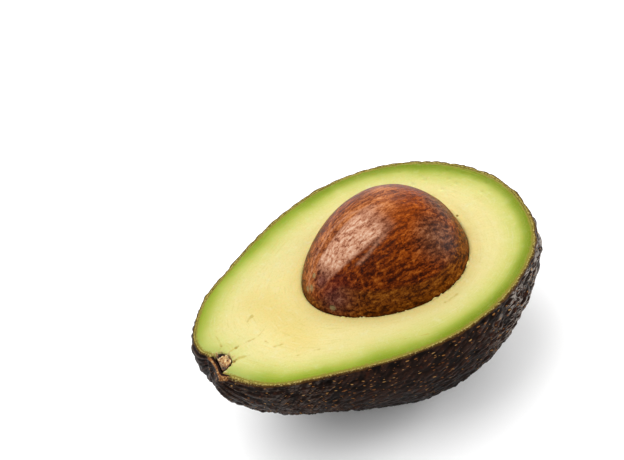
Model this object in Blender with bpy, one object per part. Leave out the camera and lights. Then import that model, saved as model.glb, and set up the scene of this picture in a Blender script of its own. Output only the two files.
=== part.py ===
"""Half an avocado, cut lengthwise, lying on its back with the seed still in it.

Metres, +Z up. +X runs from the stem end to the blunt end, and the cut face is level.
The origin is under the middle of the half, on the surface that it rests on.
"""

import math

import bmesh
import bpy
from mathutils import Matrix, Vector, noise

MM = 0.001

# The whole fruit, as a pear-shaped body round an axis along X
FRUIT_LENGTH = 96.0 * MM
FRUIT_RADIUS = 33.9 * MM
OUTLINE = (0.212, -0.005, -0.140)
DEPTH_SHARE = 0.90
BLUNT_END_RISE = 0.40
CUT_ABOVE_AXIS = 5.4 * MM
FLAT_DEPTH = 1.2 * MM

# Its skin, and the clearance that touching pieces keep
PEEL_THICKNESS = 1.3 * MM
CLEARANCE = 0.3 * MM
PEBBLE_SPACING = 5.0 * MM
PEBBLE_HEIGHT = 1.5 * MM
PEBBLE_REACH = 0.74
PEBBLE_SIZES = (0.8, 0.3)
PEBBLE_PATCH = 15.0 * MM
VALLEY_DEPTH = 0.6 * MM
STEM_RIDGES = 12
STEM_RIDGE_HEIGHT = 0.35 * MM
STEM_RIDGE_REACH = 14.0 * MM
STEM_RIDGE_FADE = 8.4 * MM

# The seed, an egg with its wider end towards the blunt end of the fruit
SEED_CENTRE_X = 6.6 * MM
SEED_ASIDE = 0.8 * MM
SEED_BELOW_FACE = 3.0 * MM
SEED_TURN = math.radians(4.0)
SEED_HALF_LENGTH = 23.1 * MM
SEED_HALF_WIDTH = 20.9 * MM
SEED_HALF_HEIGHT = 19.2 * MM
SEED_EGG = 0.175
SEED_SEAM_DEPTH = 0.35 * MM
SEED_SEAM_WIDTH = 0.06
SEED_SEAM_SLANT = 0.25
SEED_SEAM_FADE = 0.3

# The stub of stem that is left in its scar on the rim
STEM_ASIDE = -5.9 * MM
STEM_RADIUS = 2.7 * MM
STEM_ROOT_RADIUS = 1.5 * MM
STEM_LENGTH = 5.0 * MM
STEM_BELOW_FACE = 0.6 * MM
STEM_RECESS = 0.5 * MM
STEM_ROUGHNESS = 0.35 * MM
STEM_GRAIN = 1.1 * MM
COLLAR_HEIGHT = 0.7 * MM
COLLAR_RADIUS = 3.9 * MM
COLLAR_WIDTH = 1.1 * MM

# How finely each curved surface is divided, in cells along a cube's side
SKIN_CELLS = 37
LINING_CELLS = 11
SEED_CELLS = 14
CAVITY_CELLS = 10
STEM_SIDES = 14
STEM_RINGS = 4
SNAP = 0.25 * MM
SHARP_ANGLE = math.radians(50.0)

COLOURS = {
    "peel": ((0.018, 0.010, 0.008), 0.42),
    "flesh": ((0.80, 0.76, 0.30), 0.45),
    "seed": ((0.20, 0.065, 0.018), 0.38),
    "stem_stub": ((0.34, 0.20, 0.09), 0.85),
}

# The deepest point of the back, found along the axis, sets how high the face stands
PROFILE_STEPS = 400
HALVINGS = 40


def swell(t):
    """How much wider the fruit is than an ellipsoid at t, from -1 at the stem to 1."""
    skew, belly, taper = OUTLINE
    return 1.0 + skew * t + belly * t * t + taper * t**3


def radius_at(t):
    return FRUIT_RADIUS * math.sqrt(max(0.0, 1.0 - t * t)) * swell(t)


def depth_share(t, below):
    """How deep the fruit is for its width. Under its axis the blunt end rises sooner."""
    rise = BLUNT_END_RISE * max(0.0, t) ** 2 if below else 0.0
    return DEPTH_SHARE * (1.0 - rise)


def deepest():
    """How far the back reaches under the axis, before it is flattened."""
    steps = [2.0 * i / PROFILE_STEPS - 1.0 for i in range(PROFILE_STEPS + 1)]
    return max(depth_share(t, True) * radius_at(t) for t in steps)


FACE_HEIGHT = CUT_ABOVE_AXIS + deepest() - FLAT_DEPTH
AXIS_HEIGHT = FACE_HEIGHT - CUT_ABOVE_AXIS
SEED_CENTRE = Vector((SEED_CENTRE_X, SEED_ASIDE, FACE_HEIGHT - SEED_BELOW_FACE))


def fruit_point(direction):
    """The smooth fruit's surface in a direction from the middle of its axis."""
    around = FRUIT_RADIUS * swell(direction.x)
    deep = depth_share(direction.x, direction.z < 0.0) * around
    return Vector((
        0.5 * FRUIT_LENGTH * direction.x,
        around * direction.y,
        AXIS_HEIGHT + deep * direction.z,
    ))


def outward_normal(surface, direction):
    """The normal of a surface given as a function of a direction."""
    step = 1e-3
    side = direction.orthogonal().normalized()
    other = direction.cross(side)
    here = surface(direction)
    along_side = surface((direction + step * side).normalized()) - here
    along_other = surface((direction + step * other).normalized()) - here
    return along_side.cross(along_other).normalized()


def stem_place():
    """The middle of the scar on the rim of the cut face, and the way the stem pointed."""
    above = CUT_ABOVE_AXIS / DEPTH_SHARE
    low, high = -1.0, -0.5
    for _ in range(HALVINGS):
        t = 0.5 * (low + high)
        if radius_at(t) < math.hypot(above, STEM_ASIDE):
            low = t
        else:
            high = t
    around = FRUIT_RADIUS * swell(t)
    direction = Vector((t, STEM_ASIDE / around, above / around)).normalized()
    outward = outward_normal(fruit_point, direction)
    outward.z = 0.0
    return fruit_point(direction), outward.normalized()


STEM_PLACE, STEM_OUT = stem_place()


def smooth_step(value):
    value = min(1.0, max(0.0, value))
    return value * value * (3.0 - 2.0 * value)


def skin_relief(point):
    """How far the skin stands out: rounded pebbles, and ridges that run to the stem."""
    nearest = noise.voronoi(point / PEBBLE_SPACING)[0][0]
    mean, spread = PEBBLE_SIZES
    size = mean + spread * noise.noise(point / PEBBLE_PATCH)
    pebble = size * PEBBLE_HEIGHT * (1.0 - smooth_step(nearest / PEBBLE_REACH))
    from_stem = point - STEM_PLACE
    reach = from_stem.length
    spokes = smooth_step((STEM_RIDGE_REACH - reach) / STEM_RIDGE_FADE)
    across = from_stem.dot(STEM_OUT.cross(Vector((0.0, 0.0, 1.0))))
    angle = math.atan2(from_stem.z, across)
    ridge = STEM_RIDGE_HEIGHT * math.cos(STEM_RIDGES * angle)
    collar = COLLAR_HEIGHT * math.exp(-(((reach - COLLAR_RADIUS) / COLLAR_WIDTH) ** 2))
    return (1.0 - spokes) * pebble + spokes * ridge + collar - VALLEY_DEPTH


def resting(point, height):
    """The point, raised to the flat spot where it would lie below it."""
    point.z = max(point.z, height)
    return point


def peel_outside(direction):
    point = fruit_point(direction)
    out = outward_normal(fruit_point, direction)
    return resting(point + skin_relief(point) * out, 0.0)


def layer_below(depth):
    """The surface that lies this deep under the smooth fruit's own."""
    def surface(direction):
        point = fruit_point(direction)
        out = outward_normal(fruit_point, direction)
        return resting(point - depth * out, depth)
    return surface


def seed_point(direction, extra=0.0):
    """The seed's surface, or a surface that stands off it, turned a little on the face."""
    round_share = 1.0 + SEED_EGG * direction.x
    point = Vector((
        (SEED_HALF_LENGTH + extra) * direction.x,
        (SEED_HALF_WIDTH + extra) * round_share * direction.y,
        (SEED_HALF_HEIGHT + extra) * round_share * direction.z,
    ))
    return SEED_CENTRE + Matrix.Rotation(SEED_TURN, 3, "Z") @ point


def seed_surface(direction):
    """The seed with the shallow seam where its two halves meet, along its length."""
    off_seam = direction.y + SEED_SEAM_SLANT * direction.x
    seam = math.exp(-((off_seam / SEED_SEAM_WIDTH) ** 2))
    fade = smooth_step((1.0 - abs(direction.x)) / SEED_SEAM_FADE)
    return seed_point(direction, -SEED_SEAM_DEPTH * seam * fade)


def new_ball(cells, surface):
    """A closed mesh of even cells, laid on a surface that is a function of direction."""
    bm = bmesh.new()
    bmesh.ops.create_cube(bm, size=2.0)
    bmesh.ops.subdivide_edges(bm, edges=bm.edges, cuts=cells - 1, use_grid_fill=True)
    for vert in bm.verts:
        even = Vector([math.tan(0.25 * math.pi * value) for value in vert.co])
        vert.co = surface(even.normalized())
    bmesh.ops.triangulate(bm, faces=bm.faces)
    return bm


def keep_below(bm, height):
    """Cuts the mesh off at a height and leaves it open there."""
    bmesh.ops.bisect_plane(
        bm,
        geom=bm.verts[:] + bm.edges[:] + bm.faces[:],
        dist=SNAP,
        use_snap_center=True,
        plane_co=(0.0, 0.0, height),
        plane_no=(0.0, 0.0, 1.0),
        clear_outer=True,
    )
    return bm


def close_cut(bm):
    """Fills the level cut between the open edges, then turns every face outwards."""
    rim = [edge for edge in bm.edges if edge.is_boundary]
    bmesh.ops.triangle_fill(bm, edges=rim, use_beauty=True)
    bmesh.ops.recalc_face_normals(bm, faces=bm.faces)
    return bm


def merged(outer, inner):
    """One mesh that holds both surfaces."""
    spare = bpy.data.meshes.new("spare")
    inner.to_mesh(spare)
    inner.free()
    outer.from_mesh(spare)
    bpy.data.meshes.remove(spare)
    return outer


def new_material(name):
    colour, roughness = COLOURS[name]
    material = bpy.data.materials.new(name)
    material.use_nodes = True
    shader = material.node_tree.nodes["Principled BSDF"]
    shader.inputs["Base Color"].default_value = (*colour, 1.0)
    shader.inputs["Roughness"].default_value = roughness
    shader.inputs["Metallic"].default_value = 0.0
    return material


def new_part(name, bm, origin, parent):
    """The object for one piece, with its mesh set round its own origin."""
    bmesh.ops.translate(bm, vec=-origin, verts=bm.verts)
    mesh = bpy.data.meshes.new(name)
    bm.to_mesh(mesh)
    bm.free()
    mesh.shade_smooth()
    mesh.set_sharp_from_angle(angle=SHARP_ANGLE)
    mesh.materials.append(new_material(name))
    part = bpy.data.objects.new(name, mesh)
    bpy.context.scene.collection.objects.link(part)
    part.location = origin
    part.parent = parent
    return part


def stem_frame():
    """Turns +Z to the way the stem points, at the middle of the scar under the face."""
    place = STEM_PLACE - Vector((0.0, 0.0, STEM_BELOW_FACE))
    turn = STEM_OUT.to_track_quat("Z", "Y").to_matrix().to_4x4()
    return Matrix.Translation(place) @ turn


def stem_radius(along):
    """The stub's radius this far out from the skin, which is less inside the flesh."""
    widening = (STEM_RADIUS - STEM_ROOT_RADIUS) / STEM_LENGTH
    return STEM_RADIUS + widening * along


def stem_rod(extra, inward, outward):
    """A rod along the stem's line that widens from its root in the flesh to the skin."""
    bm = bmesh.new()
    bmesh.ops.create_cone(
        bm,
        cap_ends=True,
        cap_tris=True,
        segments=STEM_SIDES,
        radius1=stem_radius(-inward) + extra,
        radius2=stem_radius(outward) + extra,
        depth=inward + outward,
    )
    middle = Matrix.Translation((0.0, 0.0, 0.5 * (outward - inward)))
    bmesh.ops.transform(bm, matrix=stem_frame() @ middle, verts=bm.verts)
    return bm


def cut_stem_pit(part, parent):
    """Cuts the half-round pit that the stub of stem sits in."""
    bm = stem_rod(CLEARANCE, STEM_LENGTH + CLEARANCE, 2.0 * COLLAR_RADIUS)
    cutter = new_cutter(f"{part.name}_pit_cutter", bm, parent)
    cut = part.modifiers.new("stem pit", "BOOLEAN")
    cut.operation = "DIFFERENCE"
    cut.solver = "EXACT"
    cut.object = cutter


def new_cutter(name, bm, parent):
    mesh = bpy.data.meshes.new(name)
    bm.to_mesh(mesh)
    bm.free()
    cutter = bpy.data.objects.new(name, mesh)
    bpy.context.scene.collection.objects.link(cutter)
    cutter.hide_render = True
    cutter.display_type = "WIRE"
    cutter.parent = parent
    return cutter


def add_peel(parent):
    """The dark pebbled skin, a thin bowl with a flat spot under it."""
    outside = keep_below(new_ball(SKIN_CELLS, peel_outside), FACE_HEIGHT)
    inside = keep_below(new_ball(LINING_CELLS, layer_below(PEEL_THICKNESS)), FACE_HEIGHT)
    peel = new_part("peel", close_cut(merged(outside, inside)), Vector(), parent)
    cut_stem_pit(peel, parent)


def add_flesh(parent):
    """The flesh that fills the skin, with the hollow that the seed lies in."""
    depth = PEEL_THICKNESS + CLEARANCE
    body = keep_below(new_ball(LINING_CELLS, layer_below(depth)), FACE_HEIGHT)
    hollow = new_ball(CAVITY_CELLS, lambda direction: seed_point(direction, CLEARANCE))
    hollow = keep_below(hollow, FACE_HEIGHT)
    flesh = new_part("flesh", close_cut(merged(body, hollow)), Vector(), parent)
    cut_stem_pit(flesh, parent)


def add_seed(parent):
    """The whole seed, its lower part in the flesh and its top standing out."""
    bm = new_ball(SEED_CELLS, seed_surface)
    bmesh.ops.recalc_face_normals(bm, faces=bm.faces)
    new_part("seed", bm, SEED_CENTRE, parent)


def runs_along(edge, line):
    nearly_straight = 0.9
    run = edge.verts[0].co - edge.verts[1].co
    return abs(run.normalized().dot(line)) > nearly_straight


def add_stem_stub(parent):
    """The half stub of stem in its scar, with a ragged end."""
    bm = stem_rod(0.0, STEM_LENGTH, -STEM_RECESS)
    along = [edge for edge in bm.edges if runs_along(edge, STEM_OUT)]
    bmesh.ops.subdivide_edges(bm, edges=along, cuts=STEM_RINGS)
    middle = stem_frame().translation
    for vert in bm.verts:
        shrink = 0.5 + 0.5 * noise.noise(vert.co / STEM_GRAIN)
        from_line = vert.co - middle
        outward = from_line.dot(STEM_OUT)
        from_line -= outward * STEM_OUT
        wear = (STEM_LENGTH + outward) / STEM_LENGTH
        vert.co -= STEM_ROUGHNESS * shrink * (from_line.normalized() + wear * STEM_OUT)
    bmesh.ops.triangulate(bm, faces=bm.faces)
    new_part("stem_stub", close_cut(keep_below(bm, FACE_HEIGHT)), middle, parent)


def clear_scene():
    for thing in list(bpy.data.objects):
        bpy.data.objects.remove(thing)


def build_avocado_half():
    clear_scene()
    half = bpy.data.objects.new("avocado_half", None)
    bpy.context.scene.collection.objects.link(half)
    add_peel(half)
    add_flesh(half)
    add_seed(half)
    add_stem_stub(half)


build_avocado_half()
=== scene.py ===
"""The look of half an avocado, cut lengthwise, with its seed still in it.

Metres, +Z up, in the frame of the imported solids. +X runs from the stem end to the blunt end.
"""

import math

import bpy
import numpy as np
from mathutils import Matrix, Vector, noise


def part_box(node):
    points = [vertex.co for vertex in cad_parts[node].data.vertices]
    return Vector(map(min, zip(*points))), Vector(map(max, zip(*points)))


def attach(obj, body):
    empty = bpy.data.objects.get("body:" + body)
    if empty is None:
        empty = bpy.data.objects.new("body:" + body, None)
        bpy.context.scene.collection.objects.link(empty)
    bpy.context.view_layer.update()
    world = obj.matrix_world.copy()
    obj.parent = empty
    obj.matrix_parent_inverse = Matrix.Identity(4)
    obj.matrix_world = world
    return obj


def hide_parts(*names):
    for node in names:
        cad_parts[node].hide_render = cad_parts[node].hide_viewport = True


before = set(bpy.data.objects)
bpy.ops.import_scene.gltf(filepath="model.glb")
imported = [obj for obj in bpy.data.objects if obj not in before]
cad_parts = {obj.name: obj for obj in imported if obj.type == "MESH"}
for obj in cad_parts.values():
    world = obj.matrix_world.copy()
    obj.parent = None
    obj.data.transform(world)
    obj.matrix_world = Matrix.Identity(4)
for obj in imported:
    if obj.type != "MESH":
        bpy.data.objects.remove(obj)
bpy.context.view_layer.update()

MM = 0.001
TINY = 1e-9
NORMAL_STEP = 1e-3
UP = np.array((0.0, 0.0, 1.0))

# How often a shape is halved or improved to find where it meets a height
SEARCH_STEPS = 40

# How far apart, in metres, the noise is read that moves a point along each axis
NOISE_OFFSETS = (0.0, 0.31, 0.73)

# How bright a white surface is under the studio's light
LIGHT_LEVEL = 1.7

# The smooth fruit that the solids are built on
FACE_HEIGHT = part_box("flesh")[1].z
FRUIT_LENGTH = 96.0 * MM
FRUIT_RADIUS = 33.9 * MM
OUTLINE = (0.212, -0.005, -0.140)
DEPTH_SHARE = 0.90
BLUNT_END_RISE = 0.40
CUT_ABOVE_AXIS = 5.4 * MM
AXIS_HEIGHT = FACE_HEIGHT - CUT_ABOVE_AXIS

# Soft swellings and dents: turn, width, tilt and height in degrees, and reach in millimetres
SWELLINGS = (
    (-176.5, 3.5, 0.0, 30.0, -1.1),
    (-164.0, 4.6, 8.0, 20.0, 1.25),
    (-158.0, 16.0, 8.0, 20.0, 0.6),
    (-138.0, 13.0, 8.0, 22.0, 1.5),
    (-152.0, 8.0, -28.0, 15.0, -0.7),
    (-130.0, 15.0, -38.0, 20.0, -1.5),
    (-92.0, 12.0, -44.0, 24.0, 1.5),
    (-70.0, 14.0, -42.0, 20.0, 1.5),
    (-30.0, 17.0, 10.0, 22.0, 1.3),
    (56.0, 12.0, 0.0, 40.0, 0.2),
    (88.0, 22.0, 0.0, 40.0, 1.15),
    (127.0, 8.0, 0.0, 30.0, -0.5),
    (148.0, 9.0, 0.0, 30.0, 0.35),
    (168.0, 9.0, 0.0, 40.0, 0.9),
)

# The seed
SEED_CENTRE = np.array((6.6 * MM, 0.8 * MM, FACE_HEIGHT - 3.0 * MM))
SEED_TURN = math.radians(4.0)
SEED_HALF = np.array((23.1, 20.9, 19.2)) * MM
SEED_EGG = 0.175
SEED_SINK = 0.22 * MM
SEED_BURIED = 0.13 * MM
SEED_SHOWN = (0.16, 0.08)

# The scar on the rim, the way that the stem pointed, and the trough that its stub lies in
STEM_PLACE = np.array((-46.2 * MM, -5.9 * MM, FACE_HEIGHT))
STEM_OUT = np.array((-0.955, -0.297, 0.0))
STEM_ACROSS = np.array((0.297, -0.955, 0.0))
SCAR_DENT = 1.3 * MM
SCAR_DENT_SIZE = 4.2 * MM
TROUGH_HALF_WIDTH = 3.0 * MM
TROUGH_DEPTH = 2.8 * MM
TROUGH_STRAIGHT = 2.7 * MM
TROUGH_ROUNDING = 2.6 * MM
NOTCH_SHARE = 0.10

# How finely the pieces are divided
COLUMNS = 560
SKIN_ROWS = 140
SKIN_ROW_EASE = 0.9
LINING_ROWS = 10
FACE_ROWS = 104
HOLLOW_ROWS = 20
SEED_ROWS = 200
SEED_COLUMNS = 420
STUB_ROWS = 56
STUB_TOP_POINTS = 60
STUB_UNDER_POINTS = 34

# The skin, where a pair says where something starts or ends and over what reach it fades
PEEL_THICKNESS = 0.95 * MM
CORNER = 0.25 * MM
LUMP_SPACING = 5.0 * MM
LUMP_HEIGHT = 0.45 * MM
LUMP_REACH = 0.74
RIDGE_SPACING = 1.8 * MM
RIDGE_HEIGHT = 0.85 * MM
RIDGE_MIDDLE = 0.4
RIDGE_SHORTENING = 0.4
END_SLANT = 0.2
FRONT_SLANT = 0.45
FRONT_TURN = 0.7
LONG_PEBBLES_TURN = (math.radians(165.0), 0.4)
LONG_PEBBLES_LOW = (6.0 * MM, 9.0 * MM)
ROUND_PEBBLE_SPACING = 1.35 * RIDGE_SPACING
PEBBLE_WANDER_SIZE = 4.0 * MM
PEBBLE_WANDER = 0.8 * MM
DOME_SHARE = 0.6
DOME_REACH = 0.8
GROOVE_REACH = 0.3
FINE_SPACING = 1.1 * MM
FINE_HEIGHT = 0.13 * MM
CALM_TURN = -100.0
CALM_WIDTH = 40.0
CALM_LOW = (6.0 * MM, 12.0 * MM)
CALM_SHARE = 0.75
CHANCE_SHARE = 0.15
CHANCE_SIZE = 13.0 * MM
RIM_CALM = 0.45
RIM_CALM_REACH = 2.5 * MM
SKIN_SINK = 0.3 * MM
SPOKE_SINK = 0.5
LOWEST_LEVEL = 0.25
MIDDLE_LEVEL = 0.5
WRINKLE_SIZE = 0.7 * MM
WRINKLE_HEIGHT = 0.06 * MM
SPOKES = (21.0, 36.0)
SPOKE_WANDERS = (2.2, 4.0)
SPOKE_WANDER_SIZE = 6.0 * MM
SPOKE_HEIGHT = 0.42 * MM
SPOKE_REACH = (21.0 * MM, 16.8 * MM)
SPOKE_START = 2.0 * MM
NARROW_SPOKES = 0.25
MORE_NARROW_SPOKES = 0.35
NARROW_REACH = (14.0 * MM, 8.0 * MM)
COLLAR_RADIUS = 3.9 * MM
COLLAR_WIDTH = 0.9 * MM
COLLAR_HEIGHT = 0.55 * MM

# The skin's cut edge: its corner as shares inwards and down, its top as shares across and rippled
CORNER_ROWS = ((0.15, 0.8), (0.50, 0.3))
EDGE_ROWS = ((0.2, 1.0), (0.45, 1.0), (0.7, 0.8), (0.92, 0.3))
EDGE_SHARES = (0.05, 0.12, 0.3, 0.5, 0.72, 0.92)
EDGE_RIPPLE = 0.07 * MM
EDGE_RIPPLE_SIZE = 0.6 * MM
EDGE_SINK = 0.04 * MM
INNER_EDGE_SINK = 0.08 * MM

# The map that the corky specks are laid out on, in millimetres, and where it ends at the stem end
MAP_RADIUS = 40.0
MAP_STEEPEST = 1.45
SPECK_END = (3.05, 0.15)

# Small dark holes in the skin just under the rim, as their places from under the face's middle
SKIN_HOLES = ((-32.7, -21.8, -1.6), (-25.4, -25.8, -1.7), (-23.8, -26.5, -1.6), (17.6, -33.3, -1.2),
              (7.7, -34.3, -1.9), (13.9, -34.0, -9.7), (26.0, 28.0, -1.8), (-20.0, 27.0, -2.0))
HOLE_RADIUS = 0.55 * MM
HOLE_DEPTH = 0.5 * MM

# Corky specks on the skin, in millimetres
SPECK_SPACING = 1.1
SPECK_SLANT = 0.45

# The cut flesh and its hollow, whose rows lie at shares of the way from its bottom to its rim
SKIN_GAP = 0.04 * MM
SEED_GAP = -0.07 * MM
HOLLOW_SLACK = 0.3 * MM
SLACK_FADE = 0.2
HOLLOW_SHARES = (0.03, 0.985)
WIDEST_HOLLOW = 30.0 * MM

# The cut face's relief: its waves as height and size, the lip round the seed, torn in front, and pits
FACE_WAVES = ((0.16 * MM, 11.0 * MM), (0.05 * MM, 2.2 * MM))
FACE_GRAIN = 0.025 * MM
FACE_GRAIN_SIZE = 0.7 * MM
FACE_GRAIN_STRETCH = np.array((0.3, 1.0, 1.0))
LIP_HEIGHT = 0.30 * MM
LIP_SIZE = 4.0 * MM
LIP_PLACE = 0.8 * MM
LIP_WIDTH = 0.9 * MM
TORN_HEIGHT = 1.1 * MM
TORN_SIZE = 0.6 * MM
TORN_LEVEL = 0.1
TORN_WIDTH = 0.5 * MM
TORN_SIDE = (SEED_CENTRE[1] - 8.0 * MM, 6.0 * MM)
SEED_EDGE_DEPTH = 0.15 * MM
SEED_EDGE_WIDTH = 0.2 * MM
SKIN_EDGE_DEPTH = 0.10 * MM
SKIN_EDGE_WIDTH = 0.25 * MM
PITS_END = (20.0 * MM, 8.0 * MM)
PITS_SIDE = (0.0, 6.0 * MM)
PIT_DEPTH = 0.22 * MM
PIT_SPACING = 2.8 * MM
PIT_REACH = 0.2
SPOT_DEPTH = 0.3 * MM

# The ragged rim of the stub's trough, with its place and width as shares of the trough's half width
RAG_PLACE = 1.1
RAG_WIDTH = 0.22
RAG_HEIGHT = 0.25 * MM
RAG_SIZE = 0.8 * MM
RAG_CONTRAST = 1.6
RAG_LEVEL = 0.2

# What a field in millimetres says where it has nothing to show
FAR_MM = 20.0
FAR_FROM_SCAR_MM = 50.0

# Brown-yellow threads in the cut face, in millimetres
THREADS = (
    ((-40.3, -3.4), (-38.4, -3.1), (-36.8, -3.1), (-33.3, -3.4), (-31.2, -2.8), (-28.9, -1.3)),
    ((-41.0, -7.0), (-39.2, -6.9), (-36.8, -7.6)),
    ((-42.6, -1.7), (-41.4, 0.3), (-41.1, 3.8), (-40.2, 5.4)),
    ((-31.2, -6.1), (-30.3, -8.9), (-27.8, -9.6), (-24.8, -10.5)),
    ((-33.1, -14.7), (-32.0, -15.9), (-29.9, -16.4)),
    ((-27.8, -15.0), (-24.4, -15.7), (-21.1, -16.9)),
    ((-2.7, -26.4), (0.5, -28.0), (3.9, -29.1)),
    ((12.4, -22.6), (16.7, -21.9)),
    ((-32.3, 3.0), (-30.3, 4.1)),
)

# Brown spots in the cut face, as place, radius and strength
BROWN_SPOTS = (
    (-38.6, -3.2, 0.55, 0.45),
    (-37.9, -3.1, 0.45, 0.30),
    (-41.0, -7.0, 0.55, 0.80),
    (-40.3, -6.8, 0.40, 0.50),
    (-42.0, -4.2, 0.55, 0.75),
    (-42.9, -2.6, 0.45, 0.70),
    (-41.5, -0.4, 0.40, 0.35),
    (30.3, 2.2, 0.40, 0.75),
)


def hex_colour(text):
    """A colour written as it looks under the studio's light, as a share of that light."""
    shown = [int(text[i:i + 2], 16) / 255.0 for i in (1, 3, 5)]
    light = [v / 12.92 if v < 0.04045 else ((v + 0.055) / 1.055) ** 2.4 for v in shown]
    return tuple(v / LIGHT_LEVEL for v in light)


def smooth(value):
    value = np.clip(value, 0.0, 1.0)
    return value * value * (3.0 - 2.0 * value)


def rising(value, start, reach):
    return smooth((value - start) / reach)


def falling(value, end, reach):
    return smooth((end - value) / reach)


def bell(value):
    return np.exp(-value * value)


def length(vectors):
    return np.linalg.norm(vectors, axis=-1)


def turn_of(points):
    return np.arctan2(points[..., 1], points[..., 0])


def noise_at(points, size):
    """Smooth noise from -1 to 1 at every point, with features of this size."""
    flat = points.reshape(-1, 3) / size
    values = np.array([noise.noise(Vector(p)) for p in flat])
    return values.reshape(points.shape[:-1])


def cells_at(points, size):
    """How near each point is to the nearest and the second of scattered seeds, in sizes."""
    flat = points.reshape(-1, 3) / size
    values = np.array([noise.voronoi(Vector(p))[0][:2] for p in flat])
    return values[:, 0].reshape(points.shape[:-1]), values[:, 1].reshape(points.shape[:-1])


def shaken(points, size, reach):
    """The points, moved about by smooth noise."""
    moves = [noise_at(points + offset, size) for offset in NOISE_OFFSETS]
    return points + reach * np.stack(moves, axis=-1)


def line_distance(points, spots):
    """The distance of every point from a line through these spots."""
    nearest = np.full(points.shape[:-1], np.inf)
    spots = np.array(spots)
    for start, end in zip(spots[:-1], spots[1:]):
        span = end - start
        share = np.clip((points - start) @ span / (span @ span), 0.0, 1.0)
        gap = points - start - share[..., None] * span
        nearest = np.minimum(nearest, length(gap))
    return nearest


def swell(t):
    """How wide the fruit is along its length."""
    skew, belly, taper = OUTLINE
    return 1.0 + skew * t + belly * t * t + taper * t**3


def soft_swellings(directions):
    """How far the soft swellings move the surface outwards."""
    turn = np.degrees(turn_of(directions))
    tilt = np.degrees(np.arcsin(np.clip(directions[..., 2], -1.0, 1.0)))
    push = np.zeros_like(turn)
    for place, width, middle, height, reach in SWELLINGS:
        away = (turn - place + 180.0) % 360.0 - 180.0
        push += reach * MM * bell(away / width) * bell((tilt - middle) / height)
    return push * np.sqrt(1.0 - directions[..., 2] ** 2)


def fruit_surface(directions):
    """The smooth fruit's surface in these directions from the middle of its axis."""
    t, across, up = np.moveaxis(directions, -1, 0)
    around = FRUIT_RADIUS * swell(t)
    rise = np.where(up < 0.0, BLUNT_END_RISE * np.maximum(t, 0.0) ** 2, 0.0)
    deep = DEPTH_SHARE * (1.0 - rise) * around
    points = np.stack((0.5 * FRUIT_LENGTH * t, around * across, AXIS_HEIGHT + deep * up), axis=-1)
    flat = directions * np.array((1.0, 1.0, 0.0))
    flat /= np.maximum(np.linalg.norm(flat, axis=-1, keepdims=True), TINY)
    points += soft_swellings(directions)[..., None] * flat
    from_stem = length(points - STEM_PLACE)
    return points - SCAR_DENT * bell(from_stem / SCAR_DENT_SIZE)[..., None] * STEM_OUT


def bowl_direction(turn, tilt):
    return np.stack((np.cos(tilt) * np.cos(turn), np.cos(tilt) * np.sin(turn), np.sin(tilt)), axis=-1)


def fruit_normals(turn, tilt):
    here = fruit_surface(bowl_direction(turn, tilt))
    along = fruit_surface(bowl_direction(turn + NORMAL_STEP, tilt)) - here
    up = fruit_surface(bowl_direction(turn, tilt + NORMAL_STEP)) - here
    normals = np.cross(along, up)
    return normals / np.linalg.norm(normals, axis=-1, keepdims=True)


def level_tilt(turn, height):
    """The tilt at which the smooth fruit has this height, which is above its axis."""
    up = np.zeros_like(turn)
    for _ in range(SEARCH_STEPS):
        t = np.cos(turn) * np.sqrt(1.0 - up * up)
        up = (height - AXIS_HEIGHT) / (DEPTH_SHARE * FRUIT_RADIUS * swell(t))
    return np.arcsin(up)


def along_stem(points):
    """How far outwards and sideways of the scar's middle the points lie."""
    away = points - STEM_PLACE
    return away @ STEM_OUT, away @ STEM_ACROSS


def trough_reach(points):
    """How far the points are from the trough's middle line, which is 1 at the trough's edge."""
    outwards, sideways = along_stem(points)
    end = np.minimum(outwards + TROUGH_STRAIGHT, 0.0) / TROUGH_ROUNDING
    return np.hypot(end, sideways / TROUGH_HALF_WIDTH)


def trough_depth(points):
    """How deep the trough of the stub of stem is."""
    return TROUGH_DEPTH * np.sqrt(np.clip(1.0 - trough_reach(points) ** 2, 0.0, 1.0))


TURNS = np.linspace(-math.pi, math.pi, COLUMNS, endpoint=False)
FACE_TILT = level_tilt(TURNS, FACE_HEIGHT)
RIM_TROUGH = trough_depth(fruit_surface(bowl_direction(TURNS, FACE_TILT)))
RIM_HEIGHT = FACE_HEIGHT - NOTCH_SHARE * RIM_TROUGH
RIM_TILT = level_tilt(TURNS, RIM_HEIGHT)


def from_scar(points):
    """Distance from the scar, and the angle about the way the stem pointed."""
    away = points - STEM_PLACE
    reach = length(away)
    angle = np.arctan2(away @ UP, away @ STEM_ACROSS)
    return reach, angle


def ringed_mesh(name, start, rows, end, fields):
    """A closed mesh through rings of points, from one pole to the other."""
    count, around = rows.shape[:2]
    points = np.concatenate((start[None], rows.reshape(-1, 3), end[None]))
    ring = 1 + np.arange(count * around).reshape(count, around)
    following = np.roll(ring, -1, axis=1)
    quads = np.stack((ring[:-1], following[:-1], following[1:], ring[1:]), axis=-1).reshape(-1, 4)
    first = np.stack((np.zeros(around, int), following[0], ring[0]), axis=-1)
    last = np.stack((ring[-1], following[-1], np.full(around, len(points) - 1)), axis=-1)
    mesh = bpy.data.meshes.new(name)
    mesh.from_pydata(points.tolist(), [], first.tolist() + quads.tolist() + last.tolist())
    for field, values in fields.items():
        layer = mesh.attributes.new(field, "FLOAT", "POINT")
        flat = np.concatenate((values[0, :1], values.ravel(), values[-1, :1]))
        layer.data.foreach_set("value", flat.astype(np.float32))
    mesh.shade_smooth()
    piece = bpy.data.objects.new(name, mesh)
    bpy.context.scene.collection.objects.link(piece)
    return piece


def finish_piece(piece, node, material):
    """Puts a piece in its CAD node's place."""
    piece.data.materials.append(material)
    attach(piece, "root")
    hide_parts(node)


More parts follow.
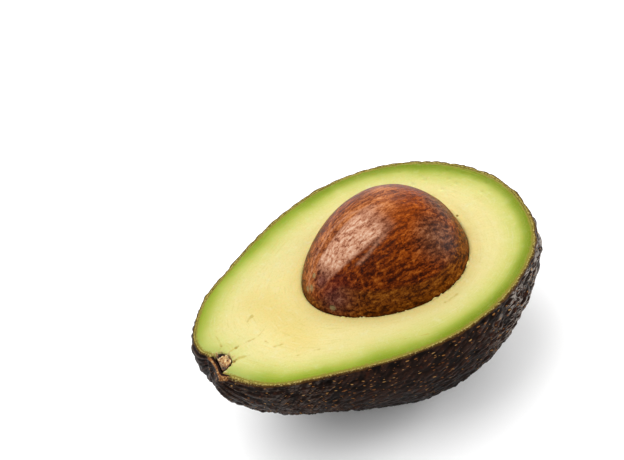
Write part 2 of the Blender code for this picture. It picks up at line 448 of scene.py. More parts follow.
class Shading:
    """The nodes of one material, added one after the other."""

    def __init__(self, name):
        self.material = bpy.data.materials.new(name)
        self.material.use_nodes = True
        self.tree = self.material.node_tree
        self.shader = self.tree.nodes["Principled BSDF"]
        self.place = self.add("ShaderNodeTexCoord", {}).outputs["Object"]

    def add(self, kind, inputs, **settings):
        made = self.tree.nodes.new(kind)
        for name, value in settings.items():
            setattr(made, name, value)
        for name, value in inputs.items():
            self.feed(made.inputs[name], value)
        return made

    def feed(self, socket, value):
        if isinstance(value, bpy.types.NodeSocket):
            self.tree.links.new(value, socket)
        elif isinstance(value, str):
            socket.default_value = (*hex_colour(value), 1.0)
        else:
            socket.default_value = value

    def set(self, **inputs):
        for name, value in inputs.items():
            self.feed(self.shader.inputs[name.replace("_", " ")], value)

    def field(self, name):
        return self.add("ShaderNodeAttribute", {}, attribute_name=name).outputs["Fac"]

    def maths(self, operation, first, second=0.0, third=0.0):
        return self.add("ShaderNodeMath", {0: first, 1: second, 2: third}, operation=operation).outputs[0]

    def times(self, first, second):
        return self.maths("MULTIPLY", first, second)

    def scaled(self, value, factor, offset):
        return self.maths("MULTIPLY_ADD", value, factor, offset)

    def ramp(self, value, low, high, start=0.0, end=1.0):
        """Runs smoothly from start to end as the value goes from low to high."""
        inputs = {"Value": value, 1: low, 2: high, 3: start, 4: end}
        made = self.add("ShaderNodeMapRange", inputs, interpolation_type="SMOOTHSTEP")
        return made.outputs[0]

    def fall(self, value, high, low, start=0.0, end=1.0):
        """Runs smoothly from start to end as the value goes down from high to low."""
        return self.ramp(value, low, high, end, start)

    def vector(self, x, y, z=0.0):
        return self.add("ShaderNodeCombineXYZ", {0: x, 1: y, 2: z}).outputs[0]

    def stretched(self, stretch, place=None, turn=(0.0, 0.0, 0.0)):
        inputs = {"Vector": place or self.place, "Scale": stretch, "Rotation": turn}
        return self.add("ShaderNodeMapping", inputs).outputs[0]

    def noise(self, size, detail=2.0, roughness=0.5, place=None):
        place = place or self.place
        inputs = {"Vector": place, "Scale": 1.0 / size, "Detail": detail, "Roughness": roughness}
        return self.add("ShaderNodeTexNoise", inputs).outputs["Fac"]

    def shaken(self, size, reach, place=None):
        """The place, moved about by noise with features of this size."""
        place = place or self.place
        inputs = {"Vector": place, "Scale": 1.0 / size, "Detail": 2.0}
        moves = self.add("ShaderNodeTexNoise", inputs).outputs["Color"]
        moves = self.add("ShaderNodeVectorMath", {0: moves, "Scale": reach}, operation="SCALE")
        return self.add("ShaderNodeVectorMath", {0: place, 1: moves.outputs[0]}, operation="ADD").outputs[0]

    def mix(self, share, first, second):
        return self.add("ShaderNodeMix", {0: share, 6: first, 7: second}, data_type="RGBA").outputs[2]

    def layered(self, colour, layers):
        """The colour under layers, each a share and a colour, with the last on top."""
        for share, over in layers:
            colour = self.mix(share, colour, over)
        return colour

    def bands(self, value, stops):
        """A colour that follows a value through stops of value and colour."""
        made = self.add("ShaderNodeValToRGB", {"Fac": value})
        elements = made.color_ramp.elements
        while len(elements) < len(stops):
            elements.new(1.0)
        for element, (position, colour) in zip(elements, stops):
            element.position = position
            element.color = (*hex_colour(colour), 1.0)
        return made.outputs["Color"]

    def bump(self, height, distance, strength=1.0):
        inputs = {"Height": height, "Distance": distance, "Strength": strength}
        self.set(Normal=self.add("ShaderNodeBump", inputs).outputs["Normal"])


# Skin

def lengthened(points):
    """The points with the way round the rim shortened, so that marks come out long that way."""
    radius = np.hypot(points[..., 0], points[..., 1])
    turn = turn_of(points)
    slant = END_SLANT * turn + FRONT_SLANT * np.minimum(turn + FRONT_TURN, 0.0)
    short = RIDGE_SHORTENING * turn
    height = points[..., 2] - radius * slant
    return np.stack((radius * np.cos(short), radius * np.sin(short), height), axis=-1)


def pebbles(points):
    """Pebbles from 0 to 1, long and slanting near the rim and round elsewhere."""
    turn = np.abs(turn_of(points))
    share = falling(turn, *LONG_PEBBLES_TURN) * rising(points[..., 2], *LONG_PEBBLES_LOW)
    moved = shaken(points, PEBBLE_WANDER_SIZE, PEBBLE_WANDER)
    kinds = []
    for place, spacing in ((lengthened(moved), RIDGE_SPACING), (moved, ROUND_PEBBLE_SPACING)):
        nearest, second = cells_at(place, spacing)
        dome = 1.0 - smooth(nearest / DOME_REACH)
        groove = smooth((second - nearest) / GROOVE_REACH)
        kinds.append(DOME_SHARE * dome + (1.0 - DOME_SHARE) * groove)
    return share * kinds[0] + (1.0 - share) * kinds[1]


def spokes_at(points):
    """Ridges that fan out of the scar, and how much they take over from the pebbles."""
    reach, angle = from_scar(points)
    wander = noise_at(points, SPOKE_WANDER_SIZE)
    share = falling(reach, *SPOKE_REACH)
    broad, narrow = (np.cos(n * angle + w * wander) for n, w in zip(SPOKES, SPOKE_WANDERS))
    more = MORE_NARROW_SPOKES * falling(reach, *NARROW_REACH)
    waves = broad * (1.0 - NARROW_SPOKES - more) + narrow * (NARROW_SPOKES + more)
    return waves, share


def liveliness(points):
    """How strong the pebbles are: fully at the blunt end and behind, little in front."""
    turn = np.degrees(turn_of(points))
    front = bell((turn - CALM_TURN) / CALM_WIDTH)
    upper = rising(points[..., 2], *CALM_LOW)
    return 1.0 - CALM_SHARE * front * upper + CHANCE_SHARE * noise_at(points, CHANCE_SIZE)


def map_height(tilt):
    """How far up the map of the skin lies, in millimetres, where small marks keep their shape."""
    return MAP_RADIUS * np.arcsinh(np.tan(np.clip(tilt, -MAP_STEEPEST, MAP_STEEPEST)))


def hole_depth(points):
    depth = np.zeros(points.shape[:-1])
    for x, y, z in SKIN_HOLES:
        place = np.array((x * MM, y * MM, FACE_HEIGHT + z * MM))
        depth = np.maximum(depth, bell(length(points - place) / HOLE_RADIUS))
    return depth


def skin_relief(points):
    """How far the skin stands out of the smooth fruit, and how high on its relief each point is."""
    lump = 1.0 - smooth(cells_at(points, LUMP_SPACING)[0] / LUMP_REACH)
    pebble = pebbles(points)
    fine = 1.0 - smooth(cells_at(points, FINE_SPACING)[0] / DOME_REACH)
    strength = liveliness(points)
    waves, share = spokes_at(points)
    reach = from_scar(points)[0]
    collar = COLLAR_HEIGHT * bell((reach - COLLAR_RADIUS) / COLLAR_WIDTH)
    spokes = SPOKE_HEIGHT * waves * rising(reach, COLLAR_RADIUS, SPOKE_START)
    pebbled = strength * (LUMP_HEIGHT * lump + RIDGE_HEIGHT * (pebble - RIDGE_MIDDLE)) + FINE_HEIGHT * fine
    wrinkles = WRINKLE_HEIGHT * noise_at(points, WRINKLE_SIZE)
    holes = hole_depth(points)
    from_rim = falling(points[..., 2], FACE_HEIGHT, RIM_CALM_REACH)
    pebbled = pebbled * (RIM_CALM + (1.0 - RIM_CALM) * from_rim)
    sink = SKIN_SINK * (1.0 - SPOKE_SINK * share)
    height = (1.0 - share) * pebbled + share * spokes + collar + wrinkles - sink
    pebble_level = LOWEST_LEVEL + (1.0 - LOWEST_LEVEL) * pebble
    level = (1.0 - share) * pebble_level + share * (0.5 + 0.5 * waves)
    return height - HOLE_DEPTH * holes, level * (1.0 - holes), holes


def inner_rim(depth):
    """The outline on the cut face of the layer this deep under the smooth fruit."""
    points = fruit_surface(bowl_direction(TURNS, FACE_TILT))
    out = fruit_normals(TURNS, FACE_TILT)
    out[:, 2] = 0.0
    out /= np.linalg.norm(out, axis=-1, keepdims=True)
    return points - depth * out


def lining(depth, count, top):
    """Rings of a layer this deep under the smooth fruit, from its top downwards."""
    share = np.linspace(0.0, 1.0, count + 2)[1:-1, None]
    tilt = RIM_TILT - share * (RIM_TILT + 0.5 * math.pi)
    turn = np.broadcast_to(TURNS, tilt.shape)
    points = fruit_surface(bowl_direction(turn, tilt)) - depth * fruit_normals(turn, tilt)
    points[..., 2] = np.clip(points[..., 2], depth, top - CORNER)
    return points


def make_peel():
    edge_tilt = level_tilt(TURNS, RIM_HEIGHT - 2.0 * CORNER)
    share = (np.arange(1, SKIN_ROWS + 1) / SKIN_ROWS)[:, None] ** SKIN_ROW_EASE
    tilt = share * (edge_tilt + 0.5 * math.pi) - 0.5 * math.pi
    turn = np.broadcast_to(TURNS, tilt.shape)
    smooth_points = fruit_surface(bowl_direction(turn, tilt))
    height, level, holes = skin_relief(smooth_points)
    skin = smooth_points + height[..., None] * fruit_normals(turn, tilt)
    skin[..., 2] = np.clip(skin[..., 2], 0.0, RIM_HEIGHT - 1.5 * CORNER)

    outer = skin[-1].copy()
    outer[:, 2] = RIM_HEIGHT
    inner = inner_rim(PEEL_THICKNESS)
    inner[:, 2] = RIM_HEIGHT
    inward = inner - outer
    width = np.linalg.norm(inward, axis=-1, keepdims=True)
    inward = inward / width
    upright = CORNER * UP
    edge_rows = [outer + across * CORNER * inward - down * upright for across, down in CORNER_ROWS]
    ripple = EDGE_RIPPLE * noise_at(outer, EDGE_RIPPLE_SIZE)
    for across, rippled in EDGE_ROWS:
        row = outer + (CORNER + across * (width - CORNER)) * inward
        row[:, 2] += ripple * rippled - EDGE_SINK
        edge_rows.append(row)
    edge_rows.append(inner - INNER_EDGE_SINK * UP)
    inside = lining(PEEL_THICKNESS, LINING_ROWS, RIM_HEIGHT)
    rows = np.concatenate((skin, np.stack(edge_rows), inside))

    def whole(values, rest=0.0):
        """The skin's own values, with one value for its edge and inside."""
        field = np.full(rows.shape[:2], rest)
        field[:SKIN_ROWS] = values
        return field

    cut = whole(0.0, 1.0)
    cut[SKIN_ROWS:SKIN_ROWS + len(EDGE_SHARES)] = np.array(EDGE_SHARES)[:, None]
    fields = {
        "cut": cut,
        "level": whole(level, MIDDLE_LEVEL),
        "round_mm": np.broadcast_to(MAP_RADIUS * TURNS, rows.shape[:2]),
        "down_mm": whole(map_height(tilt)),
        "specks": whole(falling(np.abs(turn), *SPECK_END)),
        "under_rim_mm": whole((RIM_HEIGHT - skin[..., 2]) / MM),
        "scar_mm": from_scar(rows)[0] / MM,
        "scar_side_mm": along_stem(rows)[1] / MM,
        "hole": whole(holes),
        "live": liveliness(rows),
    }
    peel = ringed_mesh("peel_skin", np.zeros(3), rows, PEEL_THICKNESS * UP, fields)
    finish_piece(peel, "peel", peel_material())


def skin_map(s, stretch):
    """The map of the skin, slanting the way its marks do and stretched along them."""
    place = s.vector(s.field("round_mm"), s.field("down_mm"))
    return s.stretched((stretch, 1.0, 1.0), s.shaken(0.6, 0.35, place), (0.0, 0.0, SPECK_SLANT))


def add_lenticels(s, skin):
    """Small corky specks, mostly long and slanting, scattered over the skin."""
    place = skin_map(s, 0.55)
    inputs = {"Vector": place, "Scale": 1.0 / SPECK_SPACING}
    dots = s.add("ShaderNodeTexVoronoi", inputs, voronoi_dimensions="2D")
    draw = s.add("ShaderNodeSeparateColor", {"Color": dots.outputs["Color"]})
    size = s.scaled(s.maths("POWER", draw.outputs[0], 2.0), 0.15, 0.09)
    fill = s.maths("SUBTRACT", size, dots.outputs["Distance"])
    kept = s.times(s.field("specks"), s.ramp(s.noise(9.0 * MM, 2.0), 0.38, 0.6, 0.35, 0.85))
    chosen = s.maths("LESS_THAN", draw.outputs[1], kept)
    speck = s.times(s.ramp(fill, -0.02, 0.07), chosen)
    colours = [(0.0, "#6b3c1e"), (0.35, "#945e30"), (0.7, "#a9743e"), (1.0, "#c4965c")]
    return s.mix(speck, skin, s.bands(draw.outputs[2], colours)), speck


def peel_material():
    s = Shading("skin")
    level = s.field("level")
    cut = s.field("cut")
    scar = s.field("scar_mm")
    live = s.field("live")
    patches = s.noise(8.0 * MM, 3.0)
    grain = s.noise(0.9 * MM, 4.0, 0.65)
    axes = s.add("ShaderNodeSeparateXYZ", {"Vector": s.place}).outputs
    # The pebbles are darker in their valleys, partly painted shade, and lighter on their tops
    dark = s.bands(patches, [(0.35, "#080302"), (0.5, "#120804"), (0.68, "#1d0d06")])
    high = s.bands(grain, [(0.3, "#21130c"), (0.52, "#342018"), (0.75, "#4c3122")])
    skin = s.mix(s.ramp(level, 0.3, 0.95), dark, high)
    # Painted sheen: thin pale lines along the pebbles' crests at the blunt end's front stand for highlights
    blunt = s.ramp(axes[0], 14.0 * MM, 33.0 * MM, 0.2, 1.0)
    sheen_place = s.times(s.ramp(live, 0.4, 0.9), blunt)
    sheen_place = s.times(sheen_place, s.fall(axes[1], -2.0 * MM, -14.0 * MM, 0.3, 1.0))
    ripples = s.noise(1.7, 3.0, 0.6, skin_map(s, 0.28))
    sheen_lines = s.fall(s.maths("ABSOLUTE", s.maths("SUBTRACT", ripples, 0.5)), 0.058, 0.008)
    sheen_lines = s.times(sheen_lines, s.ramp(level, 0.35, 0.7, 0.15, 0.9))
    # Painted sheen: grey on the crests of the ridges round the scar
    spoke_sheen = s.times(s.ramp(level, 0.7, 1.0, 0.0, 0.66), s.fall(scar, 16.0, 9.0))
    ruddy = s.ramp(s.noise(2.2 * MM, 3.0, 0.6), 0.56, 0.72, 0.0, 0.5)
    skin = s.layered(skin, [(s.times(sheen_lines, sheen_place), "#b3aaa1"), (spoke_sheen, "#7b7068"), (ruddy, "#4a2415")])
    skin, speck = add_lenticels(s, skin)
    amber = s.maths("ADD", s.field("under_rim_mm"), s.scaled(patches, -1.6, 0.8))
    skin = s.layered(skin, [
        # Painted shade: near-black inside the skin's holes
        (s.field("hole"), "#070403"),
        # Painted shade: darker towards the bottom of the skin
        (s.fall(axes[2], 24.0 * MM, 8.0 * MM, 0.0, 0.9), "#040100"),
        (s.fall(amber, 0.55, 0.1, 0.0, 0.85), "#5a3a14"),
    ])

    granular = s.noise(0.45 * MM, 3.0, 0.7)
    cork = s.bands(granular, [(0.36, "#2c1206"), (0.44, "#7a4522"), (0.54, "#b07a45"), (0.64, "#dcb27c")])
    front = s.field("scar_side_mm")
    reach = s.maths("SUBTRACT", s.scaled(patches, 2.0, scar), s.ramp(front, 0.0, 4.0, 0.0, 1.6))
    ring = s.fall(reach, 5.2, 4.6)
    low = s.scaled(grain, 1.2, s.field("under_rim_mm"))
    low = s.maths("SUBTRACT", low, s.ramp(front, 1.0, 4.5, 0.9, 1.6))
    skin = s.mix(s.times(ring, s.fall(low, 0.3, -0.2)), skin, cork)

    along = s.noise(3.0 * MM, 3.0, 0.6)
    rim = s.bands(s.scaled(along, 0.3, s.maths("SUBTRACT", cut, 0.15)), [
        (0.0, "#2a1a0c"), (0.2, "#4f3411"), (0.32, "#6d521b"), (0.46, "#9a8438"),
        (0.7, "#b3a04a"), (0.9, "#a59a45"), (1.0, "#8c8738"),
    ])
    # Near the scar the cut edge is cork outside and near-black inside, the near-black being painted shade
    # of the stub's pit
    cork_and_shade = s.mix(s.ramp(s.scaled(granular, 0.8, cut), 0.75, 0.95), cork, "#200b04")
    rim = s.layered(rim, [
        (s.ramp(granular, 0.51, 0.60, 0.0, 0.85), "#5c4a1a"),
        (s.fall(granular, 0.46, 0.36, 0.0, 0.75), "#cfc07a"),
        (ring, cork_and_shade),
    ])
    skin = s.mix(s.ramp(cut, 0.02, 0.14), skin, rim)
    gloss = s.ramp(s.noise(1.6 * MM, 3.0), 0.35, 0.65, 0.30, 0.48)
    s.set(Base_Color=skin, Roughness=gloss, IOR=1.4, Specular_IOR_Level=0.045)
    relief = s.maths("ADD", s.noise(0.45 * MM, 3.0, 0.6), s.times(speck, 0.6))
    s.bump(relief, 0.09 * MM, 0.7)
    return s.material


# Flesh

def hollow_reach(turn):
    """How far the hollow's rim is from the seed's upright middle line."""
    half = SEED_HALF + SEED_GAP
    height = FACE_HEIGHT - SEED_CENTRE[2]
    low = np.zeros_like(turn)
    high = low + WIDEST_HOLLOW
    for _ in range(SEARCH_STEPS):
        middle = 0.5 * (low + high)
        x = middle * np.cos(turn - SEED_TURN) / half[0]
        fat = 1.0 + SEED_EGG * x
        y = middle * np.sin(turn - SEED_TURN) / (half[1] * fat)
        z = height / (half[2] * fat)
        out = x * x + y * y + z * z > 1.0
        high = np.where(out, middle, high)
        low = np.where(out, low, middle)
    return low


def hollow_rows(rim):
    """Rows of the seed's hollow, from its bottom up to its rim, a little looser under the rim."""
    away = rim - SEED_CENTRE
    turn = turn_of(away) - SEED_TURN
    reach = np.hypot(away[:, 0], away[:, 1])
    half = SEED_HALF + SEED_GAP
    x = reach * np.cos(turn) / half[0]
    fat = 1.0 + SEED_EGG * x
    y = reach * np.sin(turn) / (half[1] * fat)
    round_pole = np.arctan2(y, x)
    up_from_pole = np.arctan2(np.hypot(x, y), -away[:, 2] / (half[2] * fat))
    share = np.linspace(*HOLLOW_SHARES, HOLLOW_ROWS)[:, None]
    angle = share * up_from_pole
    side = np.sin(angle)
    directions = np.stack((side * np.cos(round_pole), side * np.sin(round_pole), -np.cos(angle)), axis=-1)
    slack = HOLLOW_SLACK * smooth((1.0 - share) / SLACK_FADE)
    return seed_surface(directions, np.broadcast_to(SEED_GAP + slack, angle.shape))


def thread_distance(points):
    """The distance of every point of the cut face from the nearest thread."""
    flat = points[..., :2] / MM
    return np.min([line_distance(flat, thread) for thread in THREADS], axis=0)


def brown_spots(points):
    share = np.zeros(points.shape[:-1])
    for x, y, radius, strength in BROWN_SPOTS:
        away = length(points[..., :2] / MM - (x, y))
        share = np.maximum(share, strength * bell((away / radius) ** 2))
    return share


def face_relief(points, from_seed, from_skin, spots):
    """The height of the cut flesh over a flat face."""
    waves = sum(height * noise_at(points, size) for height, size in FACE_WAVES)
    grain = FACE_GRAIN * noise_at(points * FACE_GRAIN_STRETCH, FACE_GRAIN_SIZE)
    lip_share = 0.5 + 0.5 * noise_at(points, LIP_SIZE)
    lip = LIP_HEIGHT * lip_share * bell((from_seed - LIP_PLACE) / LIP_WIDTH)
    torn = np.clip(noise_at(points, TORN_SIZE) - TORN_LEVEL, 0.0, 1.0)
    front = falling(points[..., 1], *TORN_SIDE)
    lip = lip + TORN_HEIGHT * torn * front * bell(from_seed / TORN_WIDTH)
    drop = -SEED_EDGE_DEPTH * bell(from_seed / SEED_EDGE_WIDTH)
    edge = -SKIN_EDGE_DEPTH * bell(from_skin / SKIN_EDGE_WIDTH)
    blunt = rising(points[..., 0], *PITS_END) * rising(points[..., 1], *PITS_SIDE)
    pits = -PIT_DEPTH * blunt * bell(cells_at(points, PIT_SPACING)[0] / PIT_REACH)
    return waves + grain + lip + drop + edge + pits - SPOT_DEPTH * spots


def make_flesh():
    outer = inner_rim(PEEL_THICKNESS + SKIN_GAP)
    outer[:, 2] = FACE_HEIGHT
    turn = turn_of(outer - SEED_CENTRE)
    ray = np.stack((np.cos(turn), np.sin(turn), np.zeros_like(turn)), axis=-1)
    inner = SEED_CENTRE + hollow_reach(turn)[:, None] * ray
    inner[:, 2] = FACE_HEIGHT
    hollow = hollow_rows(inner)

    even = np.linspace(0.0, 1.0, FACE_ROWS)[:, None, None]
    share = 0.5 * even + 0.25 * (1.0 - np.cos(math.pi * even))
    face = inner + share * (outer - inner)
    from_seed = length(face - inner)
    from_skin = length(face - outer)
    spots = brown_spots(face)
    face[..., 2] = FACE_HEIGHT + face_relief(face, from_seed, from_skin, spots)
    trough = trough_depth(face)
    reach = trough_reach(face)
    rags = smooth(RAG_CONTRAST * noise_at(face, RAG_SIZE) + RAG_LEVEL)
    ragged = bell((reach - RAG_PLACE) / RAG_WIDTH) * rags
    face[..., 2] += RAG_HEIGHT * ragged * (reach > 1.0)
    face[..., 2] -= trough
    wall = lining(PEEL_THICKNESS + SKIN_GAP, LINING_ROWS, FACE_HEIGHT - RIM_TROUGH)
    rows = np.concatenate((hollow, face, wall))

    def whole(values, hollow_value=0.0, wall_value=0.0):
        """The face's own values, with one value for the hollow and one for the outer wall."""
        over = np.full((HOLLOW_ROWS, COLUMNS), hollow_value)
        under = np.full((LINING_ROWS, COLUMNS), wall_value)
        return np.concatenate((over, np.broadcast_to(values, from_skin.shape), under))

    fields = {
        "skin_mm": whole(from_skin / MM, FAR_MM, 0.0),
        "seed_mm": whole(from_seed / MM, 0.0, FAR_MM),
        "scar_mm": whole(from_scar(face)[0] / MM, FAR_FROM_SCAR_MM, FAR_FROM_SCAR_MM),
        "thread_mm": whole(thread_distance(face), FAR_MM, FAR_MM),
        "spot": whole(spots),
        "pit": whole(np.maximum(ragged, reach < 1.0)),
        "sunk_mm": whole(trough / MM, 0.0, RIM_TROUGH / MM),
        "flow_x": whole(np.cos(TURNS)),
        "flow_y": whole(np.sin(TURNS)),
        "flow_z": whole(from_skin / (from_skin + from_seed)),
    }
    under_seed = SEED_CENTRE - (SEED_HALF[2] + SEED_GAP + HOLLOW_SLACK) * UP
    bottom = (PEEL_THICKNESS + SKIN_GAP) * UP
    flesh = ringed_mesh("flesh_body", under_seed, rows, bottom, fields)
    # The rows run from the seed outwards, so the faces are turned to look out of the flesh
    flesh.data.flip_normals()
    finish_piece(flesh, "flesh", flesh_material())


def flesh_material():
    s = Shading("flesh")
    skin = s.field("skin_mm")
    seed = s.field("seed_mm")
    scar = s.field("scar_mm")
    flow = s.vector(s.field("flow_x"), s.field("flow_y"), s.field("flow_z"))
    wander = s.noise(12.0 * MM, 2.0)
    shifted = s.maths("ADD", skin, s.scaled(wander, 4.0, -2.0))
    body = s.bands(s.maths("DIVIDE", shifted, 20.0), [
        (0.0, "#879d1c"), (0.06, "#97ad2b"), (0.13, "#b1bf48"), (0.22, "#d2d370"),
        (0.32, "#e5e088"), (0.45, "#f3e79b"), (0.7, "#fbeca2"), (1.0, "#feec9d"),
    ])
    x = s.add("ShaderNodeSeparateXYZ", {"Vector": s.place}).outputs[0]
    blunt = s.times(s.ramp(x, -20.0 * MM, 25.0 * MM), s.fall(skin, 4.0, 0.3, 0.0, 0.7))
    granular = s.noise(0.5 * MM, 3.0, 0.7)
    crust = s.maths("ADD", skin, s.scaled(granular, 2.4, -1.2))
    deep = s.times(s.ramp(scar, 14.0, 22.0), s.fall(scar, 31.0, 23.0))
    deep = s.times(deep, s.ramp(skin, 8.0, 15.0))
    streaks = s.noise(1.0, 4.0, 0.6, s.stretched((4.0, 4.0, 55.0), flow))
    inside = s.ramp(skin, 1.5, 7.0, 0.15, 1.0)
    cloud = s.noise(2.5 * MM, 4.0, 0.6)
    grit = s.noise(0.5 * MM, 3.0, 0.6)
    broken = s.noise(2.6 * MM, 3.0, 0.6)
    thread = s.maths("ADD", s.field("thread_mm"), s.scaled(broken, 2.2, -0.95))
    spot = s.field("spot")
    bruise = s.bands(grit, [(0.35, "#3a200c"), (0.55, "#6e4a1c"), (0.7, "#a0813c")])
    torn = s.bands(grit, [(0.35, "#8a5a2c"), (0.48, "#cfa96a"), (0.62, "#f3e0aa")])
    body = s.layered(body, [
        (blunt, "#728500"),
        (s.fall(scar, 17.0, 5.0, 0.0, 0.3), "#eee9a4"),
        (s.fall(crust, 0.6, 0.35, 0.0, 0.85), "#9d8c36"),
        # Deeper yellow next to the seed, partly the flesh's own colour and partly painted shade
        (s.fall(seed, 5.0, 0.0, 0.0, 0.6), "#ecd07a"),
        (s.times(deep, 0.45), "#f0d676"),
        (s.ramp(streaks, 0.55, 0.72, 0.0, 0.30), "#d3c35f"),
        (s.times(inside, s.fall(streaks, 0.44, 0.28, 0.0, 0.38)), "#f8f1bc"),
        (s.times(inside, s.ramp(cloud, 0.52, 0.75, 0.0, 0.32)), "#f8f2c4"),
        (s.ramp(grit, 0.52, 0.7, 0.0, 0.22), "#cdbf62"),
        (s.times(inside, s.fall(grit, 0.48, 0.3, 0.0, 0.16)), "#fbf5c8"),
        (s.fall(thread, 0.5, 0.0, 0.0, 0.5), "#c4ab45"),
        (s.ramp(spot, 0.1, 0.45, 0.0, 0.85), "#b39a42"),
        (s.ramp(spot, 0.45, 0.95), bruise),
        (s.field("pit"), torn),
        # Painted shade: darker the deeper the stub's trough sinks
        (s.ramp(s.field("sunk_mm"), 0.3, 1.6), "#241006"),
    ])
    gloss = s.ramp(cloud, 0.3, 0.7, 0.38, 0.55)
    s.set(Base_Color=body, Roughness=gloss, IOR=1.38, Specular_IOR_Level=0.07)
    s.set(Subsurface_Weight=0.2, Subsurface_Scale=1.0 * MM)
    s.bump(s.noise(0.7 * MM, 4.0, 0.65), 0.10 * MM, 0.35)
    return s.material


# Seed, with the lines and patches on it as unit directions from its middle, in its own frame

SEAM = ((-0.97, -0.05, 0.24), (-0.84, -0.15, 0.52), (-0.63, -0.31, 0.71), (-0.38, -0.37, 0.85),
        (-0.14, -0.35, 0.93), (0.04, -0.30, 0.95), (0.18, -0.25, 0.95))
LIGHT_RIDGE = ((-0.41, -0.39, 0.82), (-0.26, -0.38, 0.88), (-0.14, -0.36, 0.92), (-0.02, -0.33, 0.94))
UPPER_VEIN = ((-0.90, 0.10, 0.42), (-0.82, 0.17, 0.55), (-0.67, 0.27, 0.69), (-0.49, 0.33, 0.81),
              (-0.31, 0.34, 0.89), (-0.15, 0.30, 0.94), (0.03, 0.20, 0.98), (0.19, 0.06, 0.98))
SMALL_VEIN = ((-0.74, -0.02, 0.67), (-0.60, 0.08, 0.79), (-0.44, 0.18, 0.88), (-0.26, 0.21, 0.94))
CREASE = ((-0.93, -0.18, 0.32), (-0.68, -0.41, 0.61), (-0.42, -0.73, 0.54), (-0.10, -0.87, 0.49),
          (0.24, -0.88, 0.41), (0.51, -0.75, 0.43), (0.71, -0.54, 0.45), (0.81, -0.40, 0.43),
          (0.90, -0.10, 0.42), (0.86, 0.25, 0.43), (0.70, 0.55, 0.45), (0.35, 0.84, 0.42),
          (-0.10, 0.90, 0.42), (-0.60, 0.70, 0.38), (-0.93, 0.18, 0.32), (-0.95, 0.0, 0.30),
          (-0.93, -0.18, 0.32))
BUMPY_VEINS = (UPPER_VEIN, SMALL_VEIN)

# Where the seed's colour changes: unit directions, each with its reach, soft or with a firmer edge
SOFT_SPOTS = {
    "pale": ((-0.93, 0.10, 0.36, 0.06), (-0.82, 0.08, 0.57, 0.05),
             (-0.85, -0.43, 0.30, 0.06), (-0.91, 0.02, 0.42, 0.07)),
    "low": ((-0.29, -0.66, 0.70, 0.3), (-0.10, -0.78, 0.62, 0.26)),
    "red": ((-0.71, -0.33, 0.62, 0.17),),
    "top": ((0.30, -0.02, 0.95, 0.42),),
    "plum": ((-0.80, -0.42, 0.44, 0.22), (-0.80, -0.10, 0.58, 0.12)),
}
DULL_SPOTS = ((0.52, -0.56, 0.65, 0.32), (0.80, -0.14, 0.58, 0.24))
GLOW_SPOTS = ((0.27, 0.32, 0.91, 0.26),)
GLOW_WIDTH = 0.17

# The broad pale band along the seed's top, partly its own tan colour and partly a painted highlight: its
# roll and half width in degrees, and how it ends
LENS_ROLL = 93.0
LENS_WIDTH = 10.8
LENS_SIDE = (1.6, 0.5)
LENS_START = (-0.82, 0.2)
LENS_END = (0.22, 0.35)

# The seed's lines as place, half width, both in millimetres, and height, and where the seam ends
SEED_SCALE = 21.0
SEAM_GROOVE = (0.0, 0.45, -0.08 * MM)
SEAM_BANK = (1.0, 0.5, 0.03 * MM)
RIDGE_LINE = (0.0, 0.6, 0.06 * MM)
VEIN_LINE = (0.0, 0.5, 0.05 * MM)
CREASE_LINE = (0.0, 0.5, -0.08 * MM)
SEAM_END = (0.20, 0.35)
SEAM_COLOUR_WIDTH = 0.42
VEIN_COLOUR_WIDTH = 0.45

# The rest of the seed's relief, with sizes as shares of its half width
SEED_WANDER = 0.02
SEED_WANDER_SIZE = 0.16
BASE_STEP = 0.08 * MM
BASE_FADE = 0.06
SEED_STREAKS = 0.05 * MM
SEED_STREAK_SIZE = 0.045
SEED_STREAK_STRETCH = np.array((0.35, 1.0, 1.0))
SEED_LUMPS = 0.09 * MM
SEED_LUMP_SIZE = 0.22


def seed_directions():
    share = np.linspace(0.0, 1.0, SEED_ROWS + 2)[1:-1, None]
    lengthwise = -np.cos(math.pi * share)
    around = np.linspace(-math.pi, math.pi, SEED_COLUMNS, endpoint=False)[None, :]
    side = np.sqrt(1.0 - lengthwise**2)
    return np.stack(np.broadcast_arrays(lengthwise, side * np.cos(around), side * np.sin(around)), axis=-1)


def turned_seed(points):
    """Points in the seed's own frame, placed in the half."""
    cos, sin = math.cos(SEED_TURN), math.sin(SEED_TURN)
    x = points[..., 0] * cos - points[..., 1] * sin
    y = points[..., 0] * sin + points[..., 1] * cos
    return SEED_CENTRE + np.stack((x, y, points[..., 2]), axis=-1)


def seed_surface(directions, extra):
    fat = 1.0 + SEED_EGG * directions[..., 0]
    sides = (SEED_HALF + extra[..., None]) * directions
    sides[..., 1] *= fat
    sides[..., 2] *= fat
    return turned_seed(sides)


def line_relief(distance, place, width, height):
    return height * bell((distance - place) / width)


